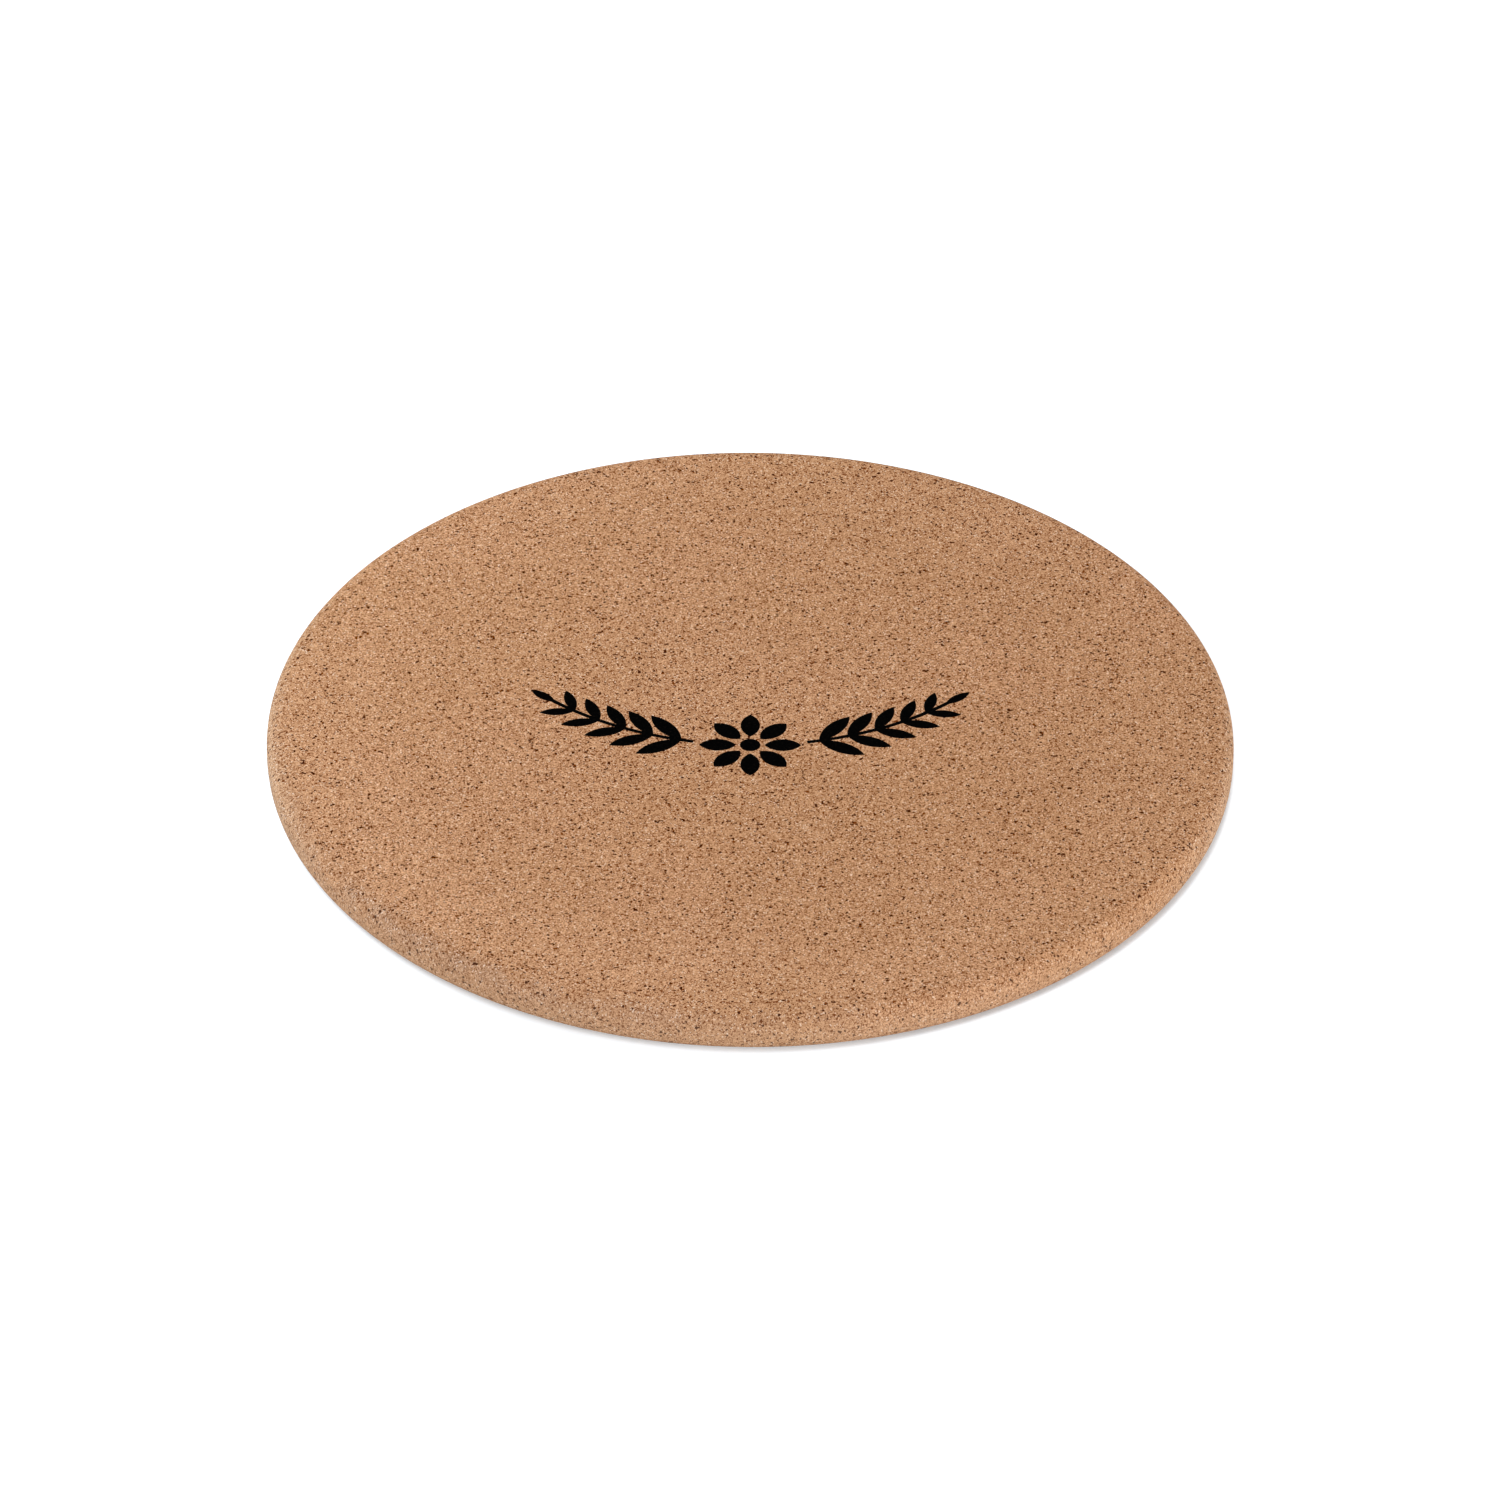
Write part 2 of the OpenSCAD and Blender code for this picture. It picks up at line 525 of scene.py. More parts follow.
@dataclass(frozen=True)
class PaperFinish:
    """Matte white backdrop paper, which comes out pure white where no shadow lies on it.

    Its glow is seen by the camera alone and lights nothing. Close to the object the glow fades
    with the open sky, so that the contact shadow stays, and more shadow is painted to the right.
    """

    name: str = "backdrop_paper"
    tone: Colour = (0.83, 0.91, 0.98)
    fibre_tone: Colour = (0.76, 0.84, 0.92)
    fibre_w: float = 0.4
    fibre_share: float = 0.1
    glow_tone: Colour = (0.93, 0.97, 1.00)
    glow_strength: float = 0.50
    contact_w: float = 2.5 * MM
    sky_ramp: Ramp = (0.20, 0.42)
    # painted shadow: how much the glow is cut by place, more to the right of the object
    shade: Ramp = (-90.0, 40.0, 0.0, 0.16)
    far_shade: Ramp = (50.0, 95.0, 0.0, 0.10)
    least_glow: Ramp = (-12.0, 55.0, 0.66, 0.22)

    def material(self) -> bpy.types.Material:
        """Build the finish.

        Returns:
            The material for the floor.
        """
        material = new_material(self.name)
        recipe = Recipe(material.node_tree)
        place = recipe.millimetres()
        fibre = recipe.clouds(place, self.fibre_w) * self.fibre_share
        colour = recipe.mixed(fibre, self.tone, self.fibre_tone)
        paper = recipe.node("ShaderNodeBsdfDiffuse", {}, {"Color": colour})
        emitted = {"Color": tinted(self.glow_tone), "Strength": self.glow_strength}
        glow = recipe.node("ShaderNodeEmission", {}, emitted)
        dark = recipe.node("ShaderNodeEmission", {}, {"Color": (0, 0, 0, 1), "Strength": 0.0})
        right = recipe.toward(place, RIGHT)
        # painted shadow: the glow is cut by place alone, more to the right of the object
        shade = recipe.eased(right, self.shade) + recipe.eased(right, self.far_shade)
        sky = recipe.node("ShaderNodeAmbientOcclusion", {}, {"Distance": self.contact_w}, out="AO")
        least = recipe.eased(right, self.least_glow)
        glowing = least + (1.0 - least) * recipe.eased(sky - shade, self.sky_ramp)
        lifted = recipe.seen_directly() * glowing
        shown = recipe.node("ShaderNodeMixShader", {}, {0: lifted, 1: dark, 2: glow})
        recipe.close(recipe.node("ShaderNodeAddShader", {}, {0: paper, 1: shown}))
        return material


def placed(name: str, data: bpy.types.ID) -> bpy.types.Object:
    """A new object in the scene that shows some data."""
    made = bpy.data.objects.new(name, data)
    bpy.context.scene.collection.objects.link(made)
    return made


def pointing(side: float, height: float) -> Vector:
    """Unit vector at a compass angle from +X and an angle above the floor, in degrees."""
    turn, lift = math.radians(side), math.radians(height)
    return Vector((math.cos(turn) * math.cos(lift), math.sin(turn) * math.cos(lift), math.sin(lift)))


@dataclass(frozen=True)
class Lamp:
    """One soft box that points at the middle of the object."""

    name: str
    side: float
    height: float
    distance: float
    width: float
    power: float
    tone: Colour = (1.0, 1.0, 1.0)

    def hang(self) -> None:
        """Put the lamp up: side is its compass angle from +X and height its angle, in degrees."""
        light = bpy.data.lights.new(self.name, "AREA")
        light.shape = "DISK"
        light.size = self.width
        light.energy = self.power
        light.color = self.tone
        lamp = placed(self.name, light)
        lamp.location = pointing(self.side, self.height) * self.distance
        lamp.rotation_euler = lamp.location.to_track_quat("Z", "Y").to_euler()
        LOG.info("lamp %s: %.1f W", self.name, self.power)


@dataclass(frozen=True)
class Studio:
    """Floor, lamps, even surrounding light and the camera at the photograph's angle."""

    floor_r: float = 3.0
    floor_step: int = 5
    surround: float = 0.72
    side: float = -90.0
    elevation: float = 36.53
    roll: float = 0.320
    distance: float = 2.0
    lens: float = 244.07
    sensor_w: float = 36.0
    aim: tuple[float, float, float] = (-0.036 * MM, 0.0, 1.174 * MM)
    lamps: tuple[Lamp, ...] = (
        Lamp("left_lamp", 155, 34, distance=0.4, width=0.22, power=0.73, tone=(0.78, 0.92, 1.0)),
        Lamp("right_lamp", -28, 8, distance=0.7, width=0.35, power=2.10, tone=(1.0, 0.985, 0.965)),
        Lamp("front_lamp", -112, 8, distance=0.8, width=0.45, power=1.35),
    )

    def place_camera(self) -> None:
        """Set up the camera that stands for the photograph's."""
        data = bpy.data.cameras.new("photo_camera")
        data.lens = self.lens
        data.sensor_width = self.sensor_w
        camera = placed("photo_camera", data)
        back = pointing(self.side, self.elevation)
        right = Vector(RIGHT)
        pose = Matrix((right, back.cross(right), back)).transposed().to_4x4()
        turned = pose @ Matrix.Rotation(math.radians(self.roll), 4, "Z")
        camera.matrix_world = Matrix.Translation(Vector(self.aim) + back * self.distance) @ turned
        bpy.context.scene.camera = camera

    def lay_floor(self) -> None:
        """Lay the backdrop paper that the object stands on."""
        mesh = bpy.data.meshes.new("floor")
        rim = [pointing(turn, 0) * self.floor_r for turn in range(0, 360, self.floor_step)]
        mesh.from_pydata(rim, [], [tuple(range(len(rim)))])
        mesh.materials.append(PaperFinish().material())
        floor = placed("floor", mesh)

    def light(self) -> None:
        """Hang the lamps, and make the surroundings white to the eye and even as light."""
        for lamp in self.lamps:
            lamp.hang()
        world = bpy.data.worlds.new("studio")
        bpy.context.scene.world = world
        world.use_nodes = True
        recipe = Recipe(world.node_tree, Output.WORLD)
        white = (1, 1, 1, 1)
        even = recipe.node("ShaderNodeBackground", {}, {"Color": white, "Strength": self.surround})
        seen = recipe.node("ShaderNodeBackground", {}, {"Color": white, "Strength": 1.0})
        sockets = {0: recipe.seen_directly(), 1: even, 2: seen}
        recipe.close(recipe.node("ShaderNodeMixShader", {}, sockets))
        bpy.context.scene.view_settings.view_transform = "Standard"

    def build(self) -> None:
        """Set up the whole studio."""
        self.place_camera()
        self.lay_floor()
        self.light()


@dataclass(frozen=True)
class Section:
    """Half of a section through the disc, measured along its skin from the middle of the top."""

    disc_r: float
    disc_t: float
    top_round_r: float = 3.5 * MM
    foot_round_r: float = 3.0 * MM

    @property
    def flat_r(self) -> float:
        """Radius of the flat top face, where the rounding begins."""
        return self.disc_r - self.top_round_r

    @property
    def foot_r(self) -> float:
        """Radius of the flat underside."""
        return self.disc_r - self.foot_round_r

    @property
    def steps(self) -> tuple[float, float, float, float]:
        """Lengths along the skin where the flat, the top rounding, the band and the foot end."""
        shoulder = self.flat_r + self.top_round_r * math.pi / 2
        band = shoulder + self.disc_t - self.top_round_r - self.foot_round_r
        return self.flat_r, shoulder, band, band + self.foot_round_r * math.pi / 2

    def place(self, sheet: np.ndarray) -> tuple[np.ndarray, np.ndarray]:
        """Fold points of the laid-out sheet round the solid.

        Args:
            sheet: points of the sheet, one row of x and y each.

        Returns:
            The points in space, and the outward normals there.
        """
        along = np.maximum(np.hypot(*sheet.T), TINY)
        flat, shoulder, band, _ = self.steps
        bend = np.clip((along - flat) / self.top_round_r, 0, math.pi / 2)
        tuck = np.clip((along - band) / self.foot_round_r, 0, math.pi / 2)
        drop = np.clip(along - shoulder, 0, band - shoulder)
        out = np.minimum(along, flat) + self.top_round_r * np.sin(bend)
        out -= self.foot_round_r * (1 - np.cos(tuck))
        up = self.disc_t - self.top_round_r * (1 - np.cos(bend)) - drop
        up -= self.foot_round_r * np.sin(tuck)
        lean = bend + tuck
        heading = sheet / along[:, None]
        points = np.column_stack([heading * out[:, None], up])
        normals = np.column_stack([heading * np.sin(lean)[:, None], np.cos(lean)])
        return points, normals


@dataclass(frozen=True)
class Pores:
    """One family of small hollows: how many, how long, how slim and how deep.

    Corners and wobble give their outline, and patience is the number of tries for each.
    """

    count: int
    half_length: Span
    slimness: Span
    depth: Span
    corners: int = 6
    wobble: Span = (0.8, 1.15)
    patience: int = 6


@dataclass
class Hollows:
    """Every hollow that has been set out on a sheet, and the cells that they fill."""

    reach: float
    cell: float = 0.1 * MM
    bare_w: float = 0.12 * MM
    rims: list[np.ndarray] = field(default_factory=list)
    middles: list[np.ndarray] = field(default_factory=list)
    depths: list[float] = field(default_factory=list)
    taken: np.ndarray = field(init=False)

    def __post_init__(self) -> None:
        """Start with no cell taken."""
        width = int(2 * self.reach / self.cell) + 2
        self.taken = np.zeros((width, width), bool)

    def _cells(self, sheet: np.ndarray) -> tuple[np.ndarray, np.ndarray]:
        """Rows and columns of the cells that points of the sheet lie in."""
        at = ((sheet + self.reach) / self.cell).astype(int)
        at = np.clip(at, 0, len(self.taken) - 1)
        return at[:, 1], at[:, 0]

    def free(self, sheet: np.ndarray) -> np.ndarray:
        """Which points of the sheet lie in no taken cell."""
        return ~self.taken[self._cells(sheet)]

    def take(self, sheet: np.ndarray, margin: float) -> None:
        """Mark the cells within a margin of each point.

        Args:
            sheet: points of the sheet.
            margin: how far round each of them the cells are marked.
        """
        reach = int(math.ceil(margin / self.cell))
        rows, columns = self._cells(sheet)
        for down in range(-reach, reach + 1):
            for over in range(-reach, reach + 1):
                if math.hypot(down, over) * self.cell <= margin:
                    row = np.clip(rows + down, 0, len(self.taken) - 1)
                    column = np.clip(columns + over, 0, len(self.taken) - 1)
                    self.taken[row, column] = True

    def add(self, rng: np.random.Generator, middle: np.ndarray, turn: float, pores: Pores) -> bool:
        """Set out one hollow where there is room, with bare cork round it.

        Args:
            rng: the source of its size.
            middle: the place of its middle on the sheet.
            turn: the angle of its long way.
            pores: the family that it belongs to.

        Returns:
            Whether there was room.
        """
        long = rng.uniform(*pores.half_length)
        short = long * rng.uniform(*pores.slimness)
        depth = rng.uniform(*pores.depth)
        wobble = rng.uniform(*pores.wobble, pores.corners)
        start = rng.uniform(0, math.tau)
        around = start + np.arange(pores.corners) * math.tau / pores.corners
        way = bearing(turn)
        shape = np.outer(np.cos(around) * wobble * long, way)
        shape += np.outer(np.sin(around) * wobble * short, (-way[1], way[0]))
        scales = (0.0, 0.5, 1.0, 1.0 + self.bare_w / short)
        if not self.free(np.vstack([middle + shape * scale for scale in scales])).all():
            return False
        filled = np.vstack([middle + shape * scale for scale in np.linspace(0, 1, 6)])
        self.take(filled, 0.5 * self.bare_w + self.cell)
        self.rims.append(middle + shape)
        self.middles.append(middle)
        self.depths.append(depth)
        return True


@dataclass
class Sheet:
    """A laid-out skin as triangles, with what each point holds."""

    points: np.ndarray
    faces: np.ndarray
    pore_shade: np.ndarray
    depth: np.ndarray
    creases: np.ndarray


def bearing(turn: float) -> np.ndarray:
    """Unit vector on a sheet at an angle from its x axis."""
    return np.array([math.cos(turn), math.sin(turn)])


def ring(along: float, count: int, stagger: float) -> np.ndarray:
    """A ring of evenly spaced points, turned on by a share of one step."""
    turns = (np.arange(count) + stagger) / count * math.tau
    return np.column_stack([np.cos(turns), np.sin(turns)]) * along


def loop(count: int) -> np.ndarray:
    """The pairs of neighbours among points that stand in a ring."""
    steps = np.arange(count)
    return np.column_stack([steps, (steps + 1) % count])


def triangulate(
    loose: np.ndarray, hollows: Hollows, rim: np.ndarray, lines: Sequence[tuple[np.ndarray, np.ndarray]]
) -> Sheet:
    """Join points of a sheet into triangles that keep every hollow and every drawn line.

    Args:
        loose: points with nothing to keep to.
        hollows: the hollows, whose outlines become edges.
        rim: the closed ring of points round the sheet.
        lines: further points, with the pairs of them that are to be edges.

    Returns:
        The sheet, in the order rim, lines, hollows, loose points.
    """
    count = len(rim)
    points = [rim]
    edges = [loop(count)]
    for drawn, pairs in lines:
        edges.append(pairs + count)
        points.append(drawn)
        count += len(drawn)
    pore_starts, creases = [], []
    for outline, middle in zip(hollows.rims, hollows.middles):
        creases.append(loop(len(outline)) + count)
        pore_starts.append(count + len(outline))
        points.extend([outline, middle[None]])
        count += len(outline) + 1
    points.append(loose)
    every = np.vstack(points)
    kept = np.vstack(edges + creases)
    corners = [Vector(point) for point in every.tolist()]
    found, _, faces, origins, _, _ = delaunay_2d_cdt(corners, kept.tolist(), [], 0, TINY)
    back = np.array([origin[0] if origin else -1 for origin in origins])
    if len(found) != len(every) or (back < 0).any():
        LOG.warning("the triangulation changed %d points into %d", len(every), len(found))
    faces = back[np.array([list(face) for face in faces])]
    a, b, c = (every[faces[:, i]] for i in range(3))
    area = (b[:, 0] - a[:, 0]) * (c[:, 1] - a[:, 1]) - (b[:, 1] - a[:, 1]) * (c[:, 0] - a[:, 0])
    faces[area < 0] = faces[area < 0][:, ::-1]
    # how much painted shade each point gets: 1 in the middle of a hollow
    pore_shade = np.zeros(len(every))
    depth = np.zeros(len(every))
    pore_shade[pore_starts] = 1.0
    depth[pore_starts] = hollows.depths
    return Sheet(every, faces, pore_shade, depth, np.vstack(creases))


@dataclass
class Outline:
    """The edge of one ink film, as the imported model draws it."""

    node: str
    points: np.ndarray
    pairs: np.ndarray

    @classmethod
    def of_node(cls, node: str) -> Outline:
        """Read the edge of a node's upper face.

        Args:
            node: the ink node.

        Returns:
            Its outline, in metres.
        """
        mesh = bpy.data.objects[node].data
        spots = np.empty(len(mesh.vertices) * 3)
        mesh.vertices.foreach_get("co", spots)
        spots = spots.reshape(-1, 3)
        top = spots[:, 2].max()
        merged, ids = np.unique(np.round(spots[:, :2] / MM, CORNER_DIGITS), axis=0, return_inverse=True)
        uses: dict[tuple[int, int], int] = {}
        for face in mesh.polygons:
            if min(spots[i, 2] for i in face.vertices) < top - FACE_DEPTH:
                continue
            corners = [int(ids[i]) for i in face.vertices]
            for pair in zip(corners, corners[1:] + corners[:1]):
                key = (min(pair), max(pair))
                uses[key] = uses.get(key, 0) + 1
        border = np.array([pair for pair, count in uses.items() if count == 1])
        used, pairs = np.unique(border, return_inverse=True)
        return cls(node, merged[used] * MM, pairs.reshape(-1, 2))

    def holds(self, spots: np.ndarray) -> np.ndarray:
        """Find the spots inside the outline, by counting the edges to their right.

        Args:
            spots: places on the sheet, one row each.

        Returns:
            Whether each of them lies inside.
        """
        inside = np.zeros(len(spots), bool)
        low, high = self.points.min(0), self.points.max(0)
        near = np.flatnonzero(((spots >= low) & (spots <= high)).all(1))
        x, y = spots[near].T
        crossings = np.zeros(len(near), int)
        for start, end in self.points[self.pairs]:
            if start[1] == end[1]:
                continue
            spans = (start[1] > y) != (end[1] > y)
            meet = start[0] + (y - start[1]) * (end[0] - start[0]) / (end[1] - start[1])
            crossings += spans & (meet > x)
        inside[near] = crossings % 2 == 1
        return inside


@dataclass
class CorkDisc:
    """The cork disc, made in a press: one closed mesh with pores, chipped edges and a slightly uneven
    skin.
    """

    section: Section
    seed: int = 7

    rim_count: int = 720
    ring_counts: tuple[int, int, int] = (9, 2, 8)
    flat_pitch: float = 1.5 * MM
    foot_pitch: float = 2.5 * MM
    jitter: float = 0.22
    arm_count: int = 36
    arm_clearance: float = 0.3 * MM
    ink_clearance: float = 0.15 * MM
    ring_clearance: float = 0.6 * MM
    end_clearance: float = 0.8 * MM
    foot_clearance: float = 1.0 * MM

    pores: Pores = Pores(5200, (0.14 * MM, 0.32 * MM), (0.4, 0.8), (0.06 * MM, 0.20 * MM))
    rim_pores: Pores = Pores(800, (0.12 * MM, 0.26 * MM), (0.4, 0.8), (0.05 * MM, 0.12 * MM))
    foot_pores: Pores = Pores(1800, (0.20 * MM, 0.45 * MM), (0.45, 0.9), (0.06 * MM, 0.20 * MM))
    chips: Pores = Pores(
        440, (0.20 * MM, 0.60 * MM), (0.25, 0.5), (0.07 * MM, 0.18 * MM), corners=8, patience=8
    )
    chipped_side: float = -100.0
    least_chipped: float = 0.35
    chip_out: float = 0.3 * MM
    chip_spread: float = 0.35 * MM
    chip_sway: float = 0.3

    skin_drop: float = 0.05 * MM
    unevenness: float = 0.008 * MM
    waves: tuple[Span, Span] = ((6.0, 0.6), (2.2, 0.8))
    near_from: float = 0.72
    near_length: float = 0.28
    near_share: float = 1.25
    rounding_share: float = 0.65
    # where the worn cork with painted cool sheen lies, on the lower-left edge
    wear_and_cool_sheen_side: float = -132.0
    wear_and_cool_sheen_w: float = 2.4 * MM
    map_top_r: float = 0.497
    map_foot_r: float = 0.204

    rng: np.random.Generator = field(init=False)
    top: Sheet = field(init=False)
    skin: np.ndarray = field(init=False)

    def __post_init__(self) -> None:
        """Start the source of every random place and size."""
        self.rng = np.random.default_rng(self.seed)

    def _honeycomb(self, reach: float, pitch: float) -> np.ndarray:
        """Points of a jittered honeycomb inside a circle.

        Args:
            reach: the circle's radius.
            pitch: the distance between neighbours.

        Returns:
            The points, one row each.
        """
        half = int(reach / pitch) + 2
        column, row = np.meshgrid(np.arange(-half, half + 1), np.arange(-2 * half, 2 * half + 1))
        x = (column + 0.5 * (row % 2)) * pitch
        y = row * pitch * math.sqrt(0.75)
        grid = np.column_stack([x.ravel(), y.ravel()])
        grid += self.rng.uniform(-self.jitter, self.jitter, grid.shape) * pitch
        return grid[np.hypot(*grid.T) < reach]

    def _rings(self) -> np.ndarray:
        """Staggered rings of points over both roundings and the band between them."""
        steps = self.section.steps
        parts = zip(steps, steps[1:], self.ring_counts)
        heights = [np.linspace(start, end, count, endpoint=False) for start, end, count in parts]
        rings = [
            ring(along, self.rim_count, 0.5 * ((i + 1) % 2))
            for i, along in enumerate(np.concatenate(heights))
        ]
        return np.vstack(rings)

    def _cross(self, reach: float, count: int) -> tuple[np.ndarray, np.ndarray]:
        """Points along both axes of the sheet, which part its quarters.

        Args:
            reach: the length of each of the four arms.
            count: the number of points on an arm.

        Returns:
            The points, and the pairs of them that are to be edges.
        """
        steps = np.arange(1, count + 1) / count * reach
        ways = np.array([(1, 0), (0, 1), (-1, 0), (0, -1)])
        points = np.vstack([np.zeros((1, 2)), *(np.outer(steps, way) for way in ways)])
        ends = np.arange(1, len(points))
        starts = np.where((ends - 1) % count == 0, 0, ends - 1)
        return points, np.column_stack([starts, ends])

    def _scatter(self, hollows: Hollows, pores: Pores, start: float, end: float) -> None:
        """Set out a family of hollows evenly between two distances from the middle.

        Args:
            hollows: what they are added to.
            pores: the family.
            start: the smaller distance.
            end: the larger distance.
        """
        made = tries = 0
        while made < pores.count and tries < pores.patience * pores.count:
            tries += 1
            away = math.sqrt(self.rng.uniform(start**2, end**2))
            middle = bearing(self.rng.uniform(0, math.tau)) * away
            made += hollows.add(self.rng, middle, self.rng.uniform(0, math.pi), pores)
        LOG.info("%d of %d hollows found room", made, pores.count)

    def _chip(self, hollows: Hollows) -> None:
        """Set out the chips along the arris, closest together at the front and front left.

        Args:
            hollows: what they are added to.
        """
        made = tries = 0
        while made < self.chips.count and tries < self.chips.patience * self.chips.count:
            tries += 1
            turn = self.rng.uniform(0, math.tau)
            facing = max(0.0, math.cos(turn - math.radians(self.chipped_side)))
            if self.rng.uniform() > self.least_chipped + (1 - self.least_chipped) * facing:
                continue
            away = self.section.flat_r + self.rng.normal(self.chip_out, self.chip_spread)
            along = turn + math.pi / 2 + self.rng.normal(0, self.chip_sway)
            made += hollows.add(self.rng, bearing(turn) * away, along, self.chips)
        LOG.info("%d of %d chips found room", made, self.chips.count)

    def lay_out_top(self, outlines: Sequence[Outline]) -> Sheet:
        """Set out the top and the rim as one flat sheet.

        Args:
            outlines: the edges of the ink films, which become edges of the mesh.

        Returns:
            The sheet.
        """
        flat, end = self.section.flat_r, self.section.steps[-1]
        hollows = Hollows(end)
        for outline in outlines:
            starts, ends = outline.points[outline.pairs[:, 0]], outline.points[outline.pairs[:, 1]]
            for share in np.linspace(0, 1, 8):
                hollows.take(starts + (ends - starts) * share, self.ink_clearance)
        self._chip(hollows)
        self._scatter(hollows, self.pores, 0.0, flat)
        self._scatter(hollows, self.rim_pores, flat, end - self.end_clearance)
        inner = self._honeycomb(flat - self.ring_clearance, self.flat_pitch)
        loose = np.vstack([self._rings(), inner])
        loose = loose[hollows.free(loose)]
        rim = ring(end, self.rim_count, 0.0)
        return triangulate(loose, hollows, rim, [(o.points, o.pairs) for o in outlines])

    def lay_out_foot(self) -> Sheet:
        """Set out the underside as a flat sheet, cut into quarters for its texture map.

        Returns:
            The sheet.
        """
        reach = self.section.foot_r
        inner = reach - self.foot_clearance
        hollows = Hollows(reach)
        cross = self._cross(reach - self.end_clearance, self.arm_count)
        clear, _ = self._cross(reach, 10 * self.arm_count)
        hollows.take(clear, self.arm_clearance)
        self._scatter(hollows, self.foot_pores, 0.0, inner)
        loose = self._honeycomb(inner, self.foot_pitch)
        loose = loose[hollows.free(loose)]
        return triangulate(loose, hollows, ring(reach, self.rim_count, 0.0), [cross])

    def _folded(self, top: Sheet) -> np.ndarray:
        """Fold the top sheet round the solid, with its pores and its slight unevenness.

        Args:
            top: the sheet of the top and rim.

        Returns:
            Its points in space, nowhere outside the solid.
        """
        skin, normals = self.section.place(top.points)
        uneven = np.zeros(len(skin))
        for width, share in self.waves:
            uneven += share * np.array([noise.noise(Vector(at) / MM / width) for at in skin.tolist()])
        relief = -self.skin_drop + self.unevenness * np.clip(uneven, -1, 1)
        skin = skin + normals * (relief - top.depth)[:, None]
        skin[: self.rim_count, 2] = 0.0
        return skin

    def _edge(self, along: np.ndarray) -> np.ndarray:
        """How much the skin at a distance from the middle belongs to the edge, from 0 to 1."""
        nearing = np.clip(along / self.section.flat_r - self.near_from, 0, self.near_length)
        rounding = np.clip((along - self.section.flat_r) / self.section.disc_t, 0, 1)
        return self.near_share * nearing + self.rounding_share * rounding

    def _wear_and_cool_sheen(self, points: np.ndarray, along: np.ndarray) -> np.ndarray:
        """How much the skin is worn and painted with cool sheen, most of all just outside the arris on
        one side.

        Args:
            points: places on the top sheet.
            along: their distances from its middle.

        Returns:
            A number from 0 to 1 for each.
        """
        off_side = np.arctan2(points[:, 1], points[:, 0]) - math.radians(self.wear_and_cool_sheen_side)
        off_arris = (along - self.section.flat_r - self.wear_and_cool_sheen_w) / self.wear_and_cool_sheen_w
        return np.clip(np.cos(off_side), 0, 1) ** 2 * np.exp(-(off_arris**2))

    def build(self, outlines: Sequence[Outline]) -> bpy.types.Object:
        """Fold the top sheet round the solid and close it with the underside.

        Args:
            outlines: the edges of the ink films.

        Returns:
            The cork disc.
        """
        top = self.lay_out_top(outlines)
        foot = self.lay_out_foot()
        self.top, self.skin = top, self._folded(top)
        shared = self.rim_count
        moved = len(top.points) - shared
        under = np.column_stack([foot.points, foot.depth])
        under_faces = np.where(foot.faces < shared, foot.faces, foot.faces + moved)
        points = np.vstack([self.skin, under[shared:]])
        faces = np.vstack([top.faces, under_faces[:, ::-1]])
        creases = np.vstack([top.creases, foot.creases + moved])
        disc = new_mesh("pressed_cork_disc", points, faces, creases, CorkFinish().material())
        along = np.hypot(*top.points.T)
        plain = np.zeros(len(foot.points))
        for name, above, below in (
            ("pore_shade", top.pore_shade, foot.pore_shade),
            ("edge", self._edge(along), plain),
            ("wear_and_cool_sheen", self._wear_and_cool_sheen(top.points, along), plain),
        ):
            write_numbers(disc.data, name, np.concatenate([above, below[shared:]]))
        self._lay_map(disc.data, top, foot)
        dress(disc, "cork_disc")
        return disc

    def _lay_map(self, mesh: bpy.types.Mesh, top: Sheet, foot: Sheet) -> None:
        """Give the mesh a map: the top sheet in the middle, a quarter of the foot in each corner.

        Args:
            mesh: the disc's mesh, with the faces of top first.
            top: the sheet of the top and rim.
            foot: the sheet of the underside.
        """
        top_scale = self.map_top_r / self.section.steps[-1]
        foot_scale = self.map_foot_r / self.section.foot_r
        top_map = top.points[top.faces] * top_scale + 0.5
        corners = foot.points[foot.faces[:, ::-1]] * (-1, 1)
        away = corners.mean(1, keepdims=True)
        foot_map = corners * foot_scale + np.where(away < 0, 1.0, 0.0)
        places = np.vstack([top_map.reshape(-1, 2), foot_map.reshape(-1, 2)])
        mesh.uv_layers.new(name="OFBake").uv.foreach_set("vector", places.astype(np.float32).ravel())


@dataclass
class InkFilm:
    """One film of ink that lies on the cork and follows its pores."""

    outline: Outline
    proud: float = 0.025 * MM
    sunk: float = 0.03 * MM

    def build(self, disc: CorkDisc, ink: bpy.types.Material) -> bpy.types.Object:
        """Cut the film from the disc's own triangles.

        Args:
            disc: the disc that has been built.
            ink: the ink's material.

        Returns:
            The film.
        """
        faces = disc.top.faces
        cut = faces[self.outline.holds(disc.top.points[faces].mean(1))]
        used, upper = np.unique(cut, return_inverse=True)
        upper = upper.reshape(-1, 3)
        sheet = disc.skin[used]
        count = len(used)
        points = np.vstack([sheet + (0, 0, self.proud), sheet - (0, 0, self.sunk)])
        border = open_sides(upper)
        a, b = border.T
        walls = [np.column_stack([b, a, a + count]), np.column_stack([b, a + count, b + count])]
        whole = np.vstack([upper, upper[:, ::-1] + count, *walls])
        creases = np.vstack([border, border + count])
        film = new_mesh(f"{self.outline.node}_film", points, whole, creases, ink)
        dress(film, self.outline.node)
        return film


def open_sides(faces: np.ndarray) -> np.ndarray:
    """The sides that only one triangle has, each in that triangle's own direction."""
    sides = np.vstack([faces[:, [0, 1]], faces[:, [1, 2]], faces[:, [2, 0]]]).tolist()
    keys = {tuple(side) for side in sides}
    return np.array([side for side in sides if (side[1], side[0]) not in keys])


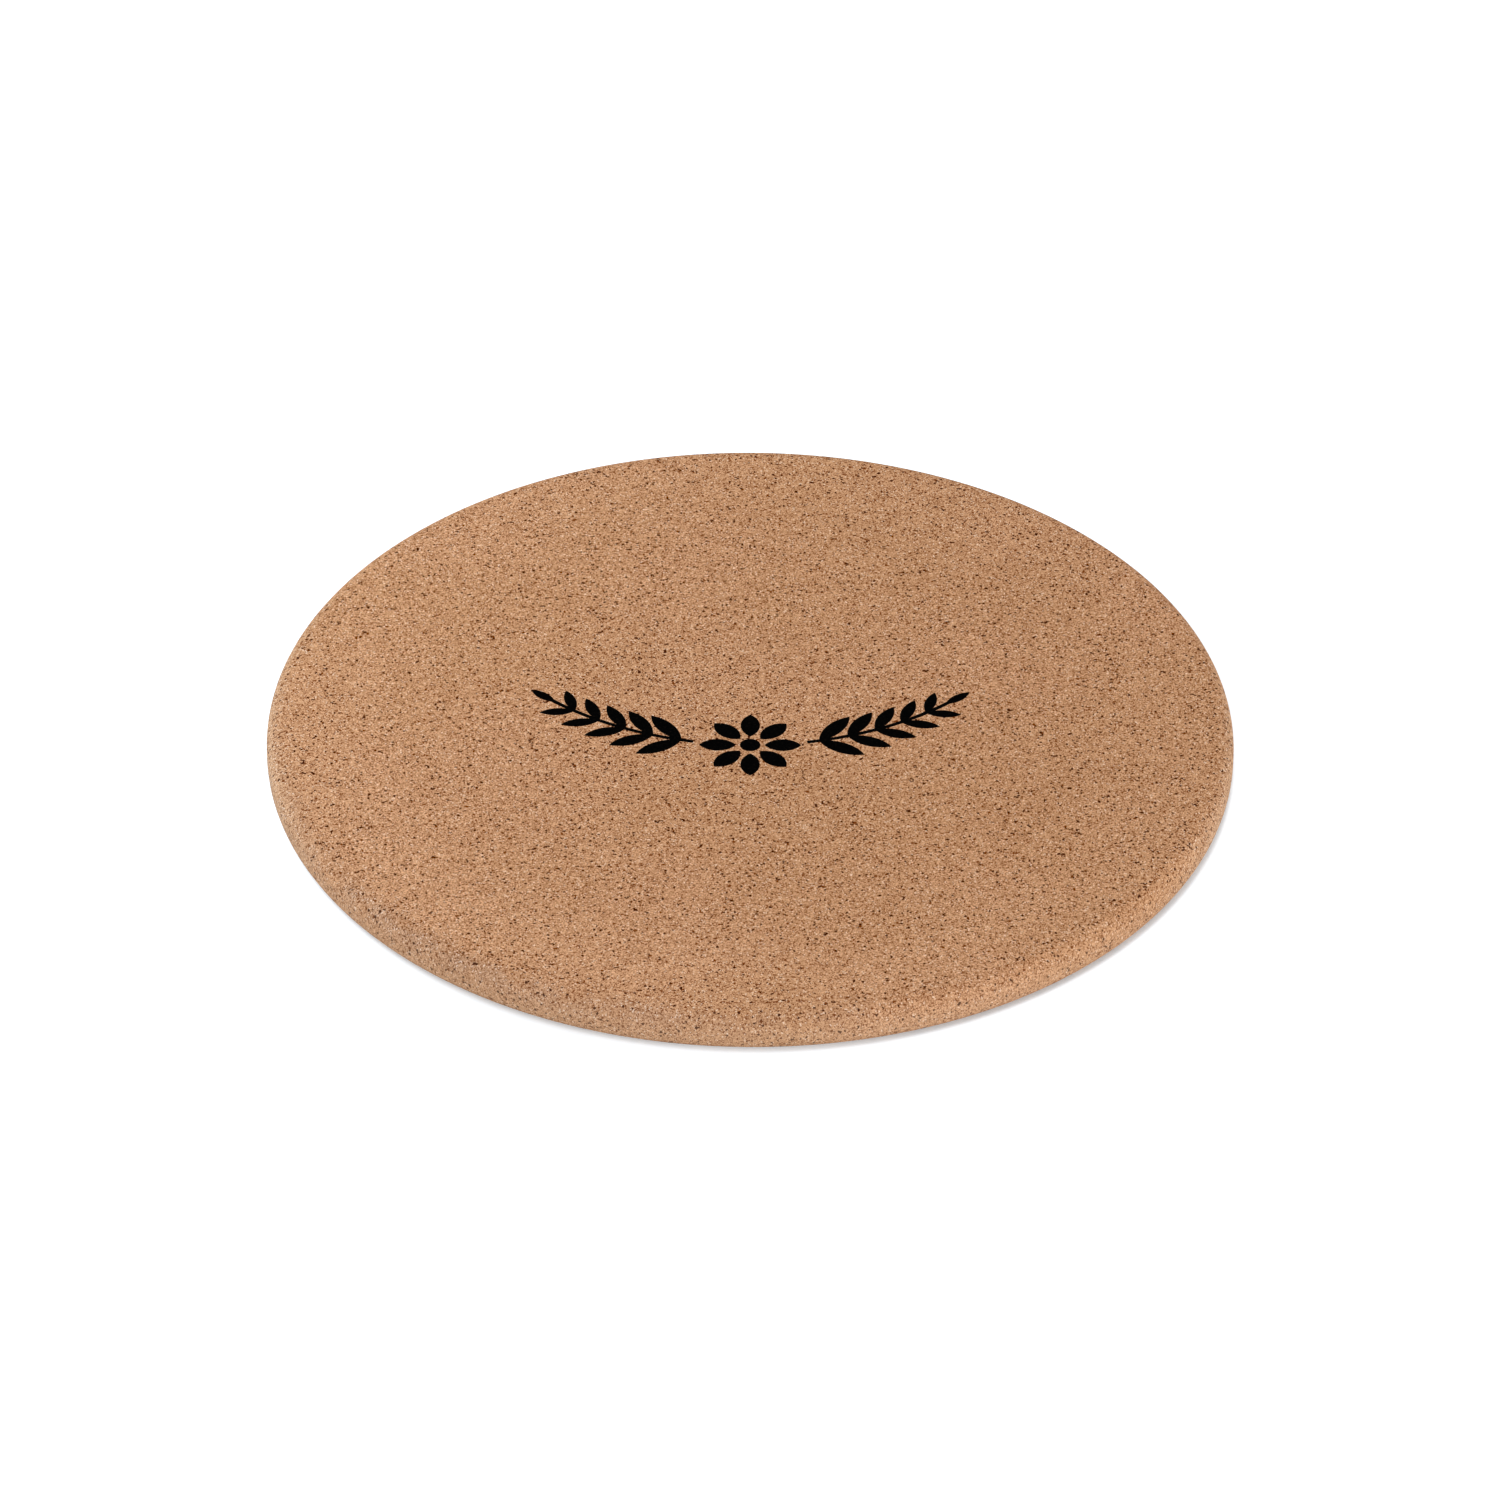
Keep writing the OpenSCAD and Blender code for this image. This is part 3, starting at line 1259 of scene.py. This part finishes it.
def new_mesh(
    name: str, points: np.ndarray, faces: np.ndarray, creases: np.ndarray, material: bpy.types.Material
) -> bpy.types.Object:
    """Make a smooth object with some hard edges.

    Args:
        name: the piece's name.
        points: its points in metres.
        faces: its triangles.
        creases: the pairs of points whose edges stay hard.
        material: its finish.

    Returns:
        The object, in the scene.
    """
    mesh = bpy.data.meshes.new(name)
    mesh.from_pydata(points.tolist(), [], faces.tolist())
    mesh.update(calc_edges=True)
    mesh.materials.append(material)
    mesh.polygons.foreach_set("use_smooth", np.ones(len(mesh.polygons), bool))
    ends = np.empty(len(mesh.edges) * 2, np.int32)
    mesh.edges.foreach_get("vertices", ends)
    ends = np.sort(ends.reshape(-1, 2).astype(np.int64), 1)
    hard = np.sort(np.asarray(creases, np.int64), 1)
    width = len(points)
    is_hard = np.isin(ends[:, 0] * width + ends[:, 1], hard[:, 0] * width + hard[:, 1])
    mesh.edges.foreach_set("use_edge_sharp", is_hard)
    return placed(name, mesh)


def write_numbers(mesh: bpy.types.Mesh, name: str, numbers: np.ndarray) -> None:
    """Keep a number for each point of a mesh, for its finish to read."""
    kept = mesh.attributes.new(name, "FLOAT", "POINT")
    kept.data.foreach_set("value", numbers.astype(np.float32))


def dress(piece: bpy.types.Object, node: str) -> None:
    """Let a piece stand for its node, on the body, and report it.

    Args:
        piece: the piece.
        node: the node that it stands for.
    """
    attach(piece, BODY)
    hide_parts(node)
    LOG.info("piece %s: %d faces, for node %s", piece.name, len(piece.data.polygons), node)


def main() -> None:
    """Build the studio, the cork disc and the ink films."""
    logging.basicConfig(level=logging.INFO, format="%(message)s", stream=sys.stdout)
    Studio().build()
    low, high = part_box("cork_disc")
    disc = CorkDisc(Section(disc_r=(high.x - low.x) / 2, disc_t=high.z - low.z))
    outlines = [Outline.of_node(node) for node in ("ink_flower", "ink_left_sprig", "ink_right_sprig")]
    disc.build(outlines)
    ink = InkFinish().material()
    for outline in outlines:
        InkFilm(outline).build(disc, ink)


if __name__ == "__main__":
    main()
